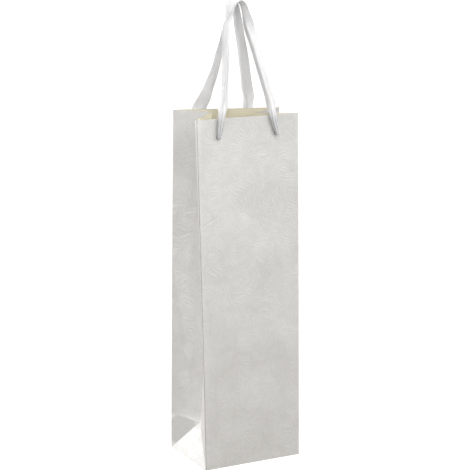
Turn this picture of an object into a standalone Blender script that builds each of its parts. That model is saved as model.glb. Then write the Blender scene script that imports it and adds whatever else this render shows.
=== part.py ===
import math

import bmesh
import bpy
from mathutils import Vector

# Wine gift bag. Metres, +Z up, origin at the centre of the base, front towards -Y.

WIDTH = 0.106
DEPTH = 0.078
HEIGHT = 0.356
PAPER = 0.0004
CARD = 0.0008
BOARD = 0.001
GAP = 0.0003

# The mouth is squeezed and skewed: each corner drifts from the base to the top.
LEAN_POWER = 1.3
CORNERS = {
    "front_left": (Vector((-0.053, -0.039)), Vector((-0.0524, -0.0168))),
    "front_right": (Vector((0.053, -0.039)), Vector((0.0520, -0.0350))),
    "back_left": (Vector((-0.053, 0.039)), Vector((-0.0518, 0.0334))),
    "back_right": (Vector((0.053, 0.039)), Vector((0.0469, -0.0051))),
}

# Centre creases of the two gussets, from the bottom crease to the mouth.
CREASE_HEIGHT = 0.037
CREASE_POWER = 0.6
CREASES = {
    "left": (Vector((-0.0395, 0.0)), Vector((-0.0222, 0.0083))),
    "right": (Vector((0.0405, 0.0)), Vector((0.0145, -0.0150))),
}

COLLAR_DEPTH = 0.038
CARD_DEPTH = 0.032
HOLE_DROP = 0.018
HOLE_RADIUS = 0.0025
HOLES = {"front": (0.22, 0.785), "back": (0.22, 0.74)}

# The handles swing on a line just outside each panel, through its two holes.
AXIS_OFFSET = 0.0024
EDGE_OFFSET = 0.0022

RIBBON_WIDTH = 0.014
RIBBON_THICK = 0.0006
BUNCH_WIDTH = 0.0045
BUNCH_THICK = 0.0014


def clear_scene():
    for item in list(bpy.data.objects):
        bpy.data.objects.remove(item, do_unlink=True)


def material(name, color, roughness):
    mat = bpy.data.materials.new(name)
    mat.use_nodes = True
    shader = mat.node_tree.nodes["Principled BSDF"]
    shader.inputs["Base Color"].default_value = (*color, 1.0)
    shader.inputs["Roughness"].default_value = roughness
    return mat


def add_mesh(name, verts, faces, mat):
    bm = bmesh.new()
    made = [bm.verts.new(v) for v in verts]
    for face in faces:
        bm.faces.new([made[i] for i in face])
    bmesh.ops.triangulate(bm, faces=bm.faces[:])
    bmesh.ops.recalc_face_normals(bm, faces=bm.faces[:])
    mesh = bpy.data.meshes.new(name)
    bm.to_mesh(mesh)
    bm.free()
    obj = bpy.data.objects.new(name, mesh)
    bpy.context.scene.collection.objects.link(obj)
    mesh.materials.append(mat)
    return obj


def corner(which, z):
    low, top = CORNERS[which]
    return low.lerp(top, (z / HEIGHT) ** LEAN_POWER)


def crease(side, z):
    low, top = CREASES[side]
    rise = max(z - CREASE_HEIGHT, 0.0) / (HEIGHT - CREASE_HEIGHT)
    return low.lerp(top, rise ** CREASE_POWER)


def front_left(z):
    return corner("front_left", z)


def front_right(z):
    return corner("front_right", z)


def back_left(z):
    return corner("back_left", z)


def back_right(z):
    return corner("back_right", z)


def left_crease(z):
    return crease("left", z)


def right_crease(z):
    return crease("right", z)


def fold_inset(line, other, clear):
    """Distance from a fold at which one leg stands clear of the other leg's stack."""
    angle = line.angle(other)
    if angle > math.radians(100.0):
        return clear
    return (clear + 0.5 * PAPER * math.cos(angle)) / math.sin(angle)


def wall(name, start, end, low, high, mat, thick=PAPER, shift=0.0, inset=(0.00035, 0.00035),
         rows=10, columns=4):
    """A sheet standing between two moving edges; the bag's inside is to the left."""
    verts = []
    for side in (-0.5, 0.5):
        for i in range(rows + 1):
            z = low + (high - low) * i / rows
            a = start(z)
            b = end(z)
            along = (b - a).normalized()
            inward = Vector((-along.y, along.x))
            first = inset[0](z) if callable(inset[0]) else inset[0]
            last = inset[1](z) if callable(inset[1]) else inset[1]
            span = (b - a).length - first - last
            for j in range(columns + 1):
                spot = a + along * (first + span * j / columns) + inward * (shift + side * thick)
                verts.append((spot.x, spot.y, z))
    wide = columns + 1
    layer = wide * (rows + 1)
    faces = []
    for i in range(rows):
        for j in range(columns):
            k = i * wide + j
            faces.append((k, k + 1, k + 1 + wide, k + wide))
            faces.append((layer + k, layer + k + wide, layer + k + 1 + wide, layer + k + 1))
    for j in range(columns):
        for k in (j, rows * wide + j):
            faces.append((k, k + 1, layer + k + 1, layer + k))
    for i in range(rows):
        for k in (i * wide, i * wide + columns):
            faces.append((k, k + wide, layer + k + wide, layer + k))
    return add_mesh(name, verts, faces, mat)


def leaf(name, points, mat, inset=0.0005, thick=PAPER):
    """A flat three-cornered sheet between creases."""
    a, b, c = [Vector(p) for p in points]
    sides = ((b - c).length, (c - a).length, (a - b).length)
    total = sum(sides)
    middle = (a * sides[0] + b * sides[1] + c * sides[2]) / total
    normal = (b - a).cross(c - a)
    radius = normal.length / total
    normal.normalize()
    shrink = 1.0 - inset / radius
    verts = []
    for side in (-0.5, 0.5):
        for p in (a, b, c):
            verts.append(middle + (p - middle) * shrink + normal * side * thick)
    faces = [(0, 1, 2), (3, 5, 4), (0, 1, 4, 3), (1, 2, 5, 4), (2, 0, 3, 5)]
    return add_mesh(name, verts, faces, mat)


def plate(name, outline, low, high, mat):
    """A flat sheet lying level."""
    count = len(outline)
    verts = [(x, y, low) for x, y in outline] + [(x, y, high) for x, y in outline]
    faces = [tuple(range(count)), tuple(range(count, 2 * count))]
    for i in range(count):
        k = (i + 1) % count
        faces.append((i, k, k + count, i + count))
    return add_mesh(name, verts, faces, mat)


def hole_spot(face, share, z):
    """Centre of a panel's hole at a share of its width, the panel's direction and its outside."""
    a = corner(face + "_left", z)
    b = corner(face + "_right", z)
    along = (b - a).normalized()
    spot = a.lerp(b, share)
    outward = Vector((along.y, -along.x, 0.0))
    if face == "back":
        outward = -outward
    return Vector((spot.x, spot.y, z)), outward


def lathe(name, origin, axis, profile, mat, segments=20):
    """A round solid about an axis; the profile lists distance along it and radius."""
    side = axis.cross(Vector((0.0, 0.0, 1.0))).normalized()
    up = side.cross(axis).normalized()
    verts = [origin + axis * profile[0][0]]
    for reach, radius in profile[1:-1]:
        for k in range(segments):
            turn = 2.0 * math.pi * k / segments
            ring = side * math.cos(turn) + up * math.sin(turn)
            verts.append(origin + axis * reach + ring * radius)
    verts.append(origin + axis * profile[-1][0])
    last = len(verts) - 1
    rings = len(profile) - 2
    faces = []
    for k in range(segments):
        n = (k + 1) % segments
        faces.append((0, 1 + n, 1 + k))
        faces.append((last, last - segments + k, last - segments + n))
        for r in range(rings - 1):
            a = 1 + r * segments
            faces.append((a + k, a + n, a + segments + n, a + segments + k))
    turned = add_mesh(name, verts, faces, mat)
    turned.data.shade_smooth()
    return turned


def punch(targets, name, spot, outward):
    """Cuts one round cord hole through a panel, its card and its collar."""
    reach = 0.008
    profile = [(-reach, 0.0), (-reach, HOLE_RADIUS), (reach, HOLE_RADIUS), (reach, 0.0)]
    tool = lathe(name, spot, outward, profile, MATERIALS["liner"], 32)
    tool.hide_render = True
    tool.display_type = "WIRE"
    for target in targets:
        cut = target.modifiers.new(name, "BOOLEAN")
        cut.operation = "DIFFERENCE"
        cut.solver = "EXACT"
        cut.object = tool


def smooth_path(points, steps):
    """Catmull-Rom curve through the points."""
    path = []
    for i in range(len(points) - 1):
        before = points[max(i - 1, 0)]
        after = points[min(i + 2, len(points) - 1)]
        a = points[i]
        b = points[i + 1]
        for k in range(steps):
            t = k / steps
            spot = (a * 2.0 + (b - before) * t + (before * 2.0 - a * 5.0 + b * 4.0 - after) * t * t
                    + (a * 3.0 - before - b * 3.0 + after) * t ** 3) * 0.5
            path.append(spot)
    path.append(points[-1])
    return path


def mix_at(table, value):
    """Reads a table of (position, value) pairs, straight between the pairs."""
    if value <= table[0][0]:
        return table[0][1]
    for (a, low), (b, high) in zip(table, table[1:]):
        if value <= b:
            return low + (high - low) * (value - a) / (b - a)
    return table[-1][1]


def ribbon(name, points, turns, widths, thicks, mat):
    """A ribbon swept along a path; turns gives the angle of its width from +Y.

    Its origin is on the hinge line, midway between its two ends.
    """
    pivot = (points[0] + points[-1]) * 0.5
    path = [point - pivot for point in smooth_path(points, 4)]
    travel = [0.0]
    for a, b in zip(path, path[1:]):
        travel.append(travel[-1] + (b - a).length)
    whole = travel[-1]
    verts = []
    for i, spot in enumerate(path):
        ahead = path[min(i + 1, len(path) - 1)] - path[max(i - 1, 0)]
        ahead.normalize()
        share = travel[i] / whole
        turn = math.radians(mix_at(turns, share))
        across = Vector((math.sin(turn), math.cos(turn), 0.0))
        across = (across - ahead * across.dot(ahead)).normalized()
        face = ahead.cross(across)
        half = 0.5 * mix_at(widths, share)
        deep = 0.5 * mix_at(thicks, share)
        for u, v in ((-1, -1), (1, -1), (1, 1), (-1, 1)):
            verts.append(spot + across * half * u + face * deep * v)
    faces = [(0, 1, 2, 3)]
    for i in range(len(path) - 1):
        for k in range(4):
            n = (k + 1) % 4
            faces.append((4 * i + k, 4 * i + n, 4 * i + 4 + n, 4 * i + 4 + k))
    end = 4 * (len(path) - 1)
    faces.append((end, end + 1, end + 2, end + 3))
    strip = add_mesh(name, verts, faces, mat)
    strip.location = pivot
    return strip


def vec(x, y, z):
    return Vector((x, y, z)) * 0.001


def make_panels():
    front = wall("front_panel", front_left, front_right, 0.0, HEIGHT, MATERIALS["paper"])
    back = wall("back_panel", back_right, back_left, 0.0, HEIGHT, MATERIALS["paper"])
    return front, back


def fold_clear(leg_end, fold, other_end):
    def inset(z):
        line = leg_end(z) - fold(z)
        other = other_end(z) - fold(z)
        return fold_inset(line, other, GAP + 0.5 * PAPER)
    return inset


def make_gusset(side, front_corner, back_corner, middle):
    paper = MATERIALS["paper"]
    z0 = CREASE_HEIGHT + 0.0005
    far = front_right if side == "left" else front_left
    far_back = back_right if side == "left" else back_left
    at_front = fold_clear(middle, front_corner, far)
    at_back = fold_clear(middle, back_corner, far_back)
    fold = 0.0009
    if side == "right":
        wall("right_gusset_front_half", front_corner, middle, z0, HEIGHT, paper, inset=(at_front, fold))
        wall("right_gusset_rear_half", middle, back_corner, z0, HEIGHT, paper, inset=(fold, at_back))
    else:
        wall("left_gusset_rear_half", back_corner, middle, z0, HEIGHT, paper, inset=(at_back, fold))
        wall("left_gusset_front_half", middle, front_corner, z0, HEIGHT, paper, inset=(fold, at_front))


def make_gusset_foot(side, front_corner, back_corner, middle):
    paper = MATERIALS["paper"]
    z = CREASE_HEIGHT
    low_front = front_corner(0.0).to_3d()
    low_back = back_corner(0.0).to_3d()
    point = middle(z).to_3d() + Vector((0.0, 0.0, z))
    high_front = front_corner(z).to_3d() + Vector((0.0, 0.0, z))
    high_back = back_corner(z).to_3d() + Vector((0.0, 0.0, z))
    leaf(side + "_foot_middle", (low_front, low_back, point), paper)
    leaf(side + "_foot_front", (low_front, point, high_front), paper)
    leaf(side + "_foot_rear", (low_back, high_back, point), paper)


def make_glue_seam():
    wall("glue_seam_flap", front_left, front_right, 0.004, HEIGHT - COLLAR_DEPTH - 0.001,
         MATERIALS["liner"], shift=PAPER + GAP, inset=(0.0025, WIDTH - 0.0145), columns=1)


def make_collars():
    liner = MATERIALS["liner"]
    low = HEIGHT - COLLAR_DEPTH
    high = HEIGHT - 0.0005
    deep = PAPER + CARD + 2.0 * GAP
    near = PAPER + GAP
    edge = 0.012
    front = wall("front_inner_collar", front_left, front_right, low, high, liner, shift=deep,
                 inset=(edge, edge), rows=3)
    back = wall("back_inner_collar", back_right, back_left, low, high, liner, shift=deep,
                inset=(edge, edge), rows=3)
    wall("right_inner_collar_front", front_right, right_crease, low, high, liner, shift=near,
         inset=(edge, 0.0005), rows=3, columns=1)
    wall("right_inner_collar_rear", right_crease, back_right, low, high, liner, shift=near,
         inset=(0.0005, edge), rows=3, columns=1)
    wall("left_inner_collar_rear", back_left, left_crease, low, high, liner, shift=near,
         inset=(edge, 0.0005), rows=3, columns=1)
    wall("left_inner_collar_front", left_crease, front_left, low, high, liner, shift=near,
         inset=(0.0005, edge), rows=3, columns=1)
    return front, back


def make_cards():
    card = MATERIALS["card"]
    shift = 0.5 * (PAPER + CARD) + GAP
    low = HEIGHT - CARD_DEPTH
    high = HEIGHT - 0.001
    front = wall("front_top_card", front_left, front_right, low, high, card, thick=CARD,
                 shift=shift, inset=(0.014, 0.014), rows=3)
    back = wall("back_top_card", back_right, back_left, low, high, card, thick=CARD,
                shift=shift, inset=(0.014, 0.014), rows=3)
    return front, back


def make_base():
    paper = MATERIALS["paper"]
    x = 0.5 * WIDTH - 0.0008
    y = 0.5 * DEPTH - 0.0007
    plate("front_base_flap", ((-x, -y), (x, -y), (x - 0.02, 0.010), (0.02 - x, 0.010)),
          0.0, PAPER, paper)
    plate("back_base_flap", ((x, y), (-x, y), (0.02 - x, -0.010), (x - 0.02, -0.010)),
          PAPER + GAP, 2.0 * PAPER + GAP, paper)
    low = 2.0 * (PAPER + GAP)
    out = 0.5 * WIDTH - 0.0015
    for side, sign in (("left", -1.0), ("right", 1.0)):
        outline = [(sign * out, -0.037), (sign * out, 0.037), (sign * 0.026, 0.014), (sign * 0.026, -0.014)]
        plate(side + "_dust_flap", outline, low, low + PAPER, MATERIALS["liner"])
    low += PAPER + GAP
    plate("base_board", ((-0.0508, -0.0378), (0.0508, -0.0378), (0.0508, 0.0378), (-0.0508, 0.0378)),
          low, low + BOARD, MATERIALS["board"])


def make_knot(name, spot, outward):
    """The knotted end of a ribbon inside the bag, with its neck through the hole."""
    stack = 0.5 * PAPER + CARD + PAPER + 2.0 * GAP
    near = -stack - GAP
    profile = [(0.0014, 0.0), (0.0014, 0.0013), (0.0009, 0.0016), (near + 0.0002, 0.0016),
               (near, 0.0028), (near - 0.0008, 0.0038), (near - 0.0022, 0.0039),
               (near - 0.0031, 0.0030), (near - 0.0036, 0.0014), (near - 0.0037, 0.0)]
    return lathe(name, spot, outward, profile, MATERIALS["satin"])


def make_knots_and_holes(face, layers):
    for side, share in zip(("left", "right"), HOLES[face]):
        spot, outward = hole_spot(face, share, HEIGHT - HOLE_DROP)
        punch(layers, "hole_tool_" + face + "_" + side, spot, outward)
        make_knot(face + "_" + side + "_knot", spot, outward)


def strand_foot(face, share):
    """The two lowest points of a strand: on the hinge line, and beside the top edge."""
    spot, outward = hole_spot(face, share, HEIGHT - HOLE_DROP)
    edge, leaning = hole_spot(face, share, HEIGHT)
    return spot + outward * AXIS_OFFSET, edge + leaning * EDGE_OFFSET + vec(0.0, 0.0, 1.0)


def make_front_ribbon():
    low_left, edge_left = strand_foot("front", HOLES["front"][0])
    low_right, edge_right = strand_foot("front", HOLES["front"][1])
    points = [low_left, edge_left, vec(-24.3, -20.5, 370), vec(-21.9, -18.2, 389),
              vec(-16.6, -14.2, 418), vec(-12.6, -11.0, 444), vec(-9.6, -9.1, 460),
              vec(-5.0, -8.1, 468.5), vec(0.0, -7.9, 471.5), vec(4.2, -8.1, 468),
              vec(6.6, -9.6, 458), vec(9.0, -13.6, 440), vec(12.7, -17.8, 421),
              vec(16.8, -21.3, 402.5), vec(20.9, -25.0, 384), vec(24.6, -28.6, 368),
              edge_right, low_right]
    turns = ((0.0, 98.0), (0.06, 98.0), (0.16, 8.0), (0.5, 0.0), (0.84, -8.0), (0.94, -80.0), (1.0, -80.0))
    widths = ((0.0, BUNCH_WIDTH), (0.07, BUNCH_WIDTH), (0.2, RIBBON_WIDTH), (0.8, RIBBON_WIDTH),
              (0.93, BUNCH_WIDTH), (1.0, BUNCH_WIDTH))
    thicks = ((0.0, BUNCH_THICK), (0.07, BUNCH_THICK), (0.2, RIBBON_THICK), (0.8, RIBBON_THICK),
              (0.93, BUNCH_THICK), (1.0, BUNCH_THICK))
    return ribbon("front_ribbon", points, turns, widths, thicks, MATERIALS["satin"])


def make_back_ribbon():
    low_left, edge_left = strand_foot("back", HOLES["back"][0])
    low_right, edge_right = strand_foot("back", HOLES["back"][1])
    points = [low_left, edge_left, vec(-24.6, 22.8, 368), vec(-21.4, 21.2, 381),
              vec(-17.0, 18.7, 397), vec(-12.9, 15.6, 415), vec(-8.8, 12.0, 435),
              vec(-5.4, 8.2, 455), vec(-3.2, 6.9, 464), vec(0.0, 6.6, 468), vec(3.0, 6.8, 463),
              vec(5.0, 6.9, 451), vec(7.3, 7.0, 434), vec(10.5, 7.1, 414), vec(12.9, 7.3, 395.5),
              vec(15.8, 8.0, 376), vec(18.4, 8.3, 366), edge_right, low_right]
    turns = ((0.0, 110.0), (0.13, 112.0), (0.38, 20.0), (0.5, 0.0), (0.62, -8.0), (0.84, -15.0),
             (0.93, -70.0), (1.0, -70.0))
    widths = ((0.0, BUNCH_WIDTH), (0.05, BUNCH_WIDTH), (0.16, RIBBON_WIDTH), (0.82, RIBBON_WIDTH),
              (0.93, 0.0055), (1.0, BUNCH_WIDTH))
    thicks = ((0.0, BUNCH_THICK), (0.05, BUNCH_THICK), (0.16, RIBBON_THICK), (0.82, RIBBON_THICK),
              (0.93, BUNCH_THICK), (1.0, BUNCH_THICK))
    return ribbon("back_ribbon", points, turns, widths, thicks, MATERIALS["satin"])


clear_scene()
MATERIALS = {
    "paper": material("pearl_paper", (0.78, 0.76, 0.73), 0.42),
    "liner": material("plain_paper", (0.80, 0.76, 0.66), 0.80),
    "card": material("grey_card", (0.62, 0.60, 0.56), 0.90),
    "board": material("white_board", (0.84, 0.82, 0.77), 0.85),
    "satin": material("satin_ribbon", (0.86, 0.86, 0.86), 0.32),
}
front_panel, back_panel = make_panels()
make_gusset("right", front_right, back_right, right_crease)
make_gusset("left", front_left, back_left, left_crease)
make_gusset_foot("right", front_right, back_right, right_crease)
make_gusset_foot("left", front_left, back_left, left_crease)
make_glue_seam()
front_inner_collar, back_inner_collar = make_collars()
front_card, back_card = make_cards()
make_base()
make_knots_and_holes("front", (front_panel, front_card, front_inner_collar))
make_knots_and_holes("back", (back_panel, back_card, back_inner_collar))
make_front_ribbon()
make_back_ribbon()
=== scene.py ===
import math

import bmesh
import bpy
from mathutils import Matrix, Vector


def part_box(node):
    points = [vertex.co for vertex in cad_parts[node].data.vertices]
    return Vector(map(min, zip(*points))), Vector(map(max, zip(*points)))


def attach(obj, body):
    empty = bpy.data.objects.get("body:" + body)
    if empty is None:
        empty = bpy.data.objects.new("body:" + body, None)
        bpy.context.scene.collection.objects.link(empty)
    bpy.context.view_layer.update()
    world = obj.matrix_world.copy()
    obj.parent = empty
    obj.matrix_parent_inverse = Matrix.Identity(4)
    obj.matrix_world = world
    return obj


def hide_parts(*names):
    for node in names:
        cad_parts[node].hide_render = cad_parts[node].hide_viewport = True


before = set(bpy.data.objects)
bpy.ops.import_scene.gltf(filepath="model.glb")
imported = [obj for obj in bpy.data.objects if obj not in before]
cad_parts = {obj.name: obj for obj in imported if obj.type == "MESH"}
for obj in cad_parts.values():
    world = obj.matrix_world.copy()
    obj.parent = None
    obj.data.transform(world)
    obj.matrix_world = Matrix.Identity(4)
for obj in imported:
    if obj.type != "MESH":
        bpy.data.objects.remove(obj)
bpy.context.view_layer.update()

# the bag's walls stand between edges that drift from the base to the squeezed mouth
bag = {
    "height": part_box("front_panel")[1][2],
    "paper": 0.0004,
    "leanPower": 1.3,
    "creaseFrom": 0.037,
    "creasePower": 0.6,
    "frontLeft": ((-0.0530, -0.0390), (-0.0524, -0.0168)),
    "frontRight": ((0.0530, -0.0390), (0.0520, -0.0350)),
    "backLeft": ((-0.0530, 0.0390), (-0.0518, 0.0334)),
    "backRight": ((0.0530, 0.0390), (0.0469, -0.0051)),
    "leftCrease": ((-0.0395, 0.0), (-0.0222, 0.0083)),
    "rightCrease": ((0.0405, 0.0), (0.0145, -0.0150)),
}


# small helpers for node trees; each adds to the tree that is being built
work = {}


def addNode(kind, **settings):
    made = work["tree"].nodes.new(kind)
    for name, value in settings.items():
        setattr(made, name, value)
    return made


def feed(socket, value):
    if isinstance(value, bpy.types.NodeSocket):
        work["tree"].links.new(value, socket)
    elif value is not None:
        socket.default_value = value


def feedAll(node, values):
    for name, value in values.items():
        feed(node.inputs[name], value)


def calc(operation, a, b=None, c=None, clamp=False):
    made = addNode("ShaderNodeMath", operation=operation, use_clamp=clamp)
    for socket, value in zip(made.inputs, (a, b, c)):
        feed(socket, value)
    return made.outputs[0]


def times(a, b):
    return calc("MULTIPLY", a, b)


def plus(a, b, clamp=False):
    return calc("ADD", a, b, clamp=clamp)


def minus(a, b):
    return calc("SUBTRACT", a, b)


def scaleAdd(value, factor, base, clamp=False):
    return calc("MULTIPLY_ADD", value, factor, base, clamp)


def vectorCalc(operation, a, b=None, scale=None):
    made = addNode("ShaderNodeVectorMath", operation=operation)
    feed(made.inputs[0], a)
    feed(made.inputs[1], b)
    if scale is not None:
        feed(made.inputs["Scale"], scale)
    return made.outputs["Value" if operation in ("LENGTH", "DOT_PRODUCT") else "Vector"]


def ramp(value, low, high):
    # 0 at low, 1 at high, eased at both ends
    made = addNode("ShaderNodeMapRange", interpolation_type="SMOOTHSTEP")
    for socket, given in zip(made.inputs, (value, low, high)):
        feed(socket, given)
    return made.outputs[0]


def noiseAt(place, scale, detail, dimensions="2D", distortion=0.0, output="Fac"):
    made = addNode("ShaderNodeTexNoise", noise_dimensions=dimensions)
    feedAll(made, {"Vector": place, "Scale": scale, "Detail": detail, "Distortion": distortion})
    return made.outputs[output]


def cellsAt(place, scale, **settings):
    made = addNode("ShaderNodeTexVoronoi", **settings)
    feedAll(made, {"Vector": place, "Scale": scale})
    return made


def splitVector(vector):
    made = addNode("ShaderNodeSeparateXYZ")
    feed(made.inputs[0], vector)
    return made.outputs


def joinVector(x, y, z):
    made = addNode("ShaderNodeCombineXYZ")
    for socket, value in zip(made.inputs, (x, y, z)):
        feed(socket, value)
    return made.outputs[0]


def mixColor(factor, a, b):
    made = addNode("ShaderNodeMix", data_type="RGBA")
    sockets = [socket for socket in made.inputs if socket.enabled]  # factor, then the two colours
    for socket, value in zip(sockets, (factor, a, b)):
        feed(socket, value)
    return next(socket for socket in made.outputs if socket.enabled)


def newGroup(name, kind, inputs, outputs):
    tree = work["tree"] = bpy.data.node_groups.new(name, kind)
    for label, socketType, default in inputs:
        socket = tree.interface.new_socket(label, in_out="INPUT", socket_type=socketType)
        if default is not None:
            socket.default_value = default
    for label, socketType in outputs:
        tree.interface.new_socket(label, in_out="OUTPUT", socket_type=socketType)
    return tree, addNode("NodeGroupInput").outputs, addNode("NodeGroupOutput").inputs


# shared shader effects

frost = {
    "swayScale": 55.0,
    "sway": 0.38,
    "scatter": 0.95,
    "fanBack": 0.48,  # how far behind its cell's point a fan is centred
    "shiverScale": 3.2,
    "shiver": 0.28,
    "breakAcross": 5.0,
    "breakScale": 2.2,
    "breaks": (0.36, 0.56),
    "fadeIn": (0.12, 0.34),
    "fadeOut": (1.25, 0.85),
    "rimFade": 0.16,
}


def frostEmbossGroup():
    # fans of curved strokes, each fan turned its own way, as on frosted glass
    tree, given, out = newGroup("frostEmboss", "ShaderNodeTree", (
        ("Place", "NodeSocketVector", None),
        ("Fans per Metre", "NodeSocketFloat", 38.0),
        ("Strokes", "NodeSocketFloat", 40.0),
        ("Curl", "NodeSocketFloat", 1.3),
        ("Shift", "NodeSocketFloat", 0.0),
    ), (("Height", "NodeSocketFloat"), ("Cover", "NodeSocketFloat")))
    shift = joinVector(given["Shift"], given["Shift"], 0.0)
    wander = noiseAt(given["Place"], frost["swayScale"], 1.0, output="Color")
    sway = vectorCalc("SUBTRACT", wander, (0.5, 0.5, 0.5))
    scaled = vectorCalc("SCALE", given["Place"], scale=given["Fans per Metre"])
    place = vectorCalc("ADD", scaled, shift)
    place = vectorCalc("ADD", place, vectorCalc("SCALE", sway, scale=frost["sway"]))
    cell, rim = (cellsAt(place, 1.0, voronoi_dimensions="2D", feature=feature)
                 for feature in ("F1", "DISTANCE_TO_EDGE"))
    for texture in (cell, rim):
        feed(texture.inputs["Randomness"], frost["scatter"])
    chance = addNode("ShaderNodeSeparateColor")
    feed(chance.inputs[0], cell.outputs["Color"])
    turn = addNode("ShaderNodeVectorRotate", rotation_type="Z_AXIS")
    feed(turn.inputs["Vector"], vectorCalc("SUBTRACT", place, cell.outputs["Position"]))
    feed(turn.inputs["Angle"], times(chance.outputs[0], 2.0 * math.pi))
    x, y = splitVector(turn.outputs[0])[:2]
    x = plus(x, frost["fanBack"])
    reach = calc("SQRT", plus(times(x, x), times(y, y)))
    bend = times(minus(chance.outputs[1], 0.5), given["Curl"])
    angle = plus(calc("ARCTAN2", y, x), times(bend, reach))
    shiver = noiseAt(place, frost["shiverScale"], 1.0)
    angle = scaleAdd(minus(shiver, 0.5), frost["shiver"], angle)
    wave = calc("SINE", times(angle, given["Strokes"]))
    ridge = scaleAdd(wave, 0.5, 0.5)
    # strokes start and stop at uneven places along the fan
    strip = joinVector(times(angle, frost["breakAcross"]), reach, 0.0)
    uneven = noiseAt(strip, frost["breakScale"], 1.0)
    mask = times(ramp(reach, *frost["fadeIn"]), ramp(reach, *frost["fadeOut"]))
    mask = times(mask, ramp(rim.outputs["Distance"], 0.0, frost["rimFade"]))
    mask = times(mask, ramp(uneven, *frost["breaks"]))
    feed(out["Height"], times(ridge, mask))
    feed(out["Cover"], mask)
    return tree


rub = {
    "grain": 900.0,
    "uneven": 1.6,
    "least": 0.2,
}


def foldWearGroup():
    # the coat cracks and rubs to bare white along a fold
    tree, given, out = newGroup("foldWear", "ShaderNodeTree", (
        ("Place", "NodeSocketVector", None),
        ("Distance", "NodeSocketFloat", 0.01),
        ("Reach", "NodeSocketFloat", 0.0009),
    ), (("Mask", "NodeSocketFloat"),))
    grain = noiseAt(given["Place"], rub["grain"], 3.0)
    edge = times(given["Reach"], scaleAdd(grain, rub["uneven"], rub["least"]))
    feed(out["Mask"], ramp(given["Distance"], edge, 0.0))
    return tree


felt = {
    "stretch": (1.0, 0.35, 1.0),
    "fibres": 1500.0,
    "tangle": 1.2,
    "clouds": 70.0,
}


def paperFibreGroup():
    # felted fibres and faint clouding of uncoated paper
    tree, given, out = newGroup("paperFibre", "ShaderNodeTree", (
        ("Place", "NodeSocketVector", None),
        ("Fineness", "NodeSocketFloat", 1.0),
    ), (("Height", "NodeSocketFloat"), ("Cloud", "NodeSocketFloat")))
    stretched = vectorCalc("MULTIPLY", given["Place"], felt["stretch"])
    fineness = times(given["Fineness"], felt["fibres"])
    fibre = noiseAt(stretched, fineness, 4.0, "3D", felt["tangle"])
    cloud = noiseAt(given["Place"], felt["clouds"], 3.0, "3D")
    feed(out["Height"], fibre)
    feed(out["Cloud"], cloud)
    return tree


frostEmboss = frostEmbossGroup()
foldWear = foldWearGroup()
paperFibre = paperFibreGroup()


def startMaterial(name):
    made = bpy.data.materials.new(name)
    made.use_nodes = True
    work["tree"] = made.node_tree
    return made, made.node_tree.nodes["Principled BSDF"]


def placeGroup(group, **values):
    made = addNode("ShaderNodeGroup", node_tree=group)
    feedAll(made, values)
    return made.outputs


def readAttribute(name, output):
    return addNode("ShaderNodeAttribute", attribute_name=name).outputs[output]


def addBump(shader, height, distance, strength=1.0, under=None):
    bump = addNode("ShaderNodeBump")
    feedAll(bump, {"Strength": strength, "Distance": distance, "Height": height, "Normal": under})
    feed(shader.inputs["Normal"], bump.outputs[0])
    return bump.outputs[0]


# materials

pearlCoat = {
    "light": (0.795, 0.794, 0.778, 1.0),
    "deep": (0.678, 0.673, 0.655, 1.0),
    "worn": (0.900, 0.895, 0.880, 1.0),
    "metallic": 0.30,
    "roughness": 0.46,
    "specular": 0.6,
    "largeFans": {"Fans per Metre": 38.0, "Strokes": 40.0, "Curl": 1.3, "Shift": 3.7},
    "smallFans": {"Fans per Metre": 55.0, "Strokes": 32.0, "Curl": 0.8, "Shift": 11.2},
    "smallShare": 0.8,
    "fineness": 0.8,
    "wearReach": 0.0008,
    "wearTone": 0.6,
    "wearRough": 0.25,
    "wearMetal": -0.25,
    "blotchEdge": (0.30, 0.70),
    "coverTone": 0.20,
    "reliefPaintedLight": 0.26,
    "reliefGloss": -0.08,
    "blotchScale": 24.0,
    "blotchTone": 0.35,
    "cloudTone": 0.25,
    "fibreDepth": 0.00001,
    "reliefDepth": 0.00010,
    "dentDepth": 0.00018,
    "dentFrom": (0.0025, 0.249, 0.0),  # a short handling crease on the front
    "dentTo": (0.0240, 0.260, 0.0),
    "dentWidth": 0.0012,
}


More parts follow.
